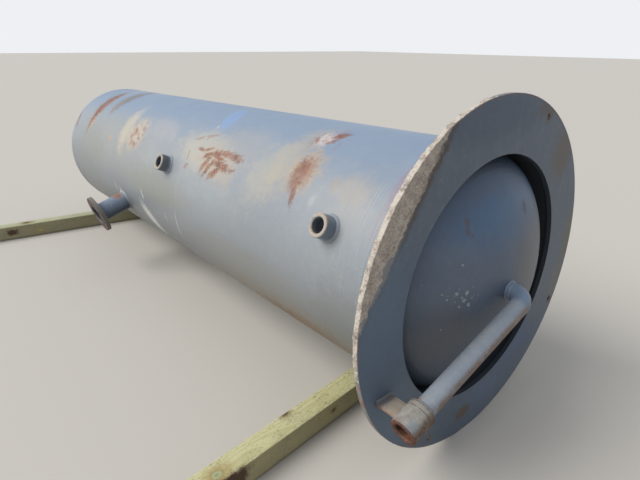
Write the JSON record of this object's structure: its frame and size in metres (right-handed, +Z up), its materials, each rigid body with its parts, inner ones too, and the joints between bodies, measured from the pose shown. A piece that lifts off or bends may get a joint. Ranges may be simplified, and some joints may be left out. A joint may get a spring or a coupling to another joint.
{
  "type": "horizontal pressure tank",
  "caption": "Round steel pressure tank with dished ends, a bolted base ring, threaded and flanged connections and a drain pipe, lying on squared timbers.",
  "frame": {"origin": "middle of the bounding box's floor face", "axes": "+X along the tank towards its base ring, +Z up from the floor that the timbers and the ring's rim rest on, -Y the side with the threaded couplings, the flanged nozzle and the drain pipe's mouth"},
  "size_m": [3.7402, 2.4413, 1.2399],
  "materials": {
    "shell_paint": "weathered blue-grey primer with rust patches and scrapes",
    "dark_paint": "matt dark blue-grey primer with dust and small rust spots",
    "rusty_steel": "thin primer over rusty steel",
    "green_pine": "rough pressure-treated pine, dusty"
  },
  "bodies": {
    "root": {"shell": "shell_paint", "skirt": "shell_paint", "far_head": "shell_paint", "near_head": "dark_paint", "base_ring": "dark_paint", "ring_welds": "shell_paint", "near_seam_weld": "shell_paint", "far_seam_weld": "shell_paint", "head_weld": "dark_paint", "near_coupling": "shell_paint", "near_coupling_weld": "shell_paint", "far_coupling": "shell_paint", "far_coupling_weld": "shell_paint", "nozzle_neck": "shell_paint", "nozzle_weld": "shell_paint", "nozzle_flange": "dark_paint", "flange_weld": "shell_paint", "drain_stub": "shell_paint", "drain_weld": "shell_paint", "drain_elbow": "shell_paint", "elbow_welds": "shell_paint", "drain_pipe": "shell_paint", "drain_coupling": "rusty_steel", "sleeve_weld": "shell_paint", "drain_bracket": "rusty_steel", "bracket_welds": "shell_paint", "near_timber": "green_pine", "far_timber": "green_pine"}
  },
  "joints": []
}
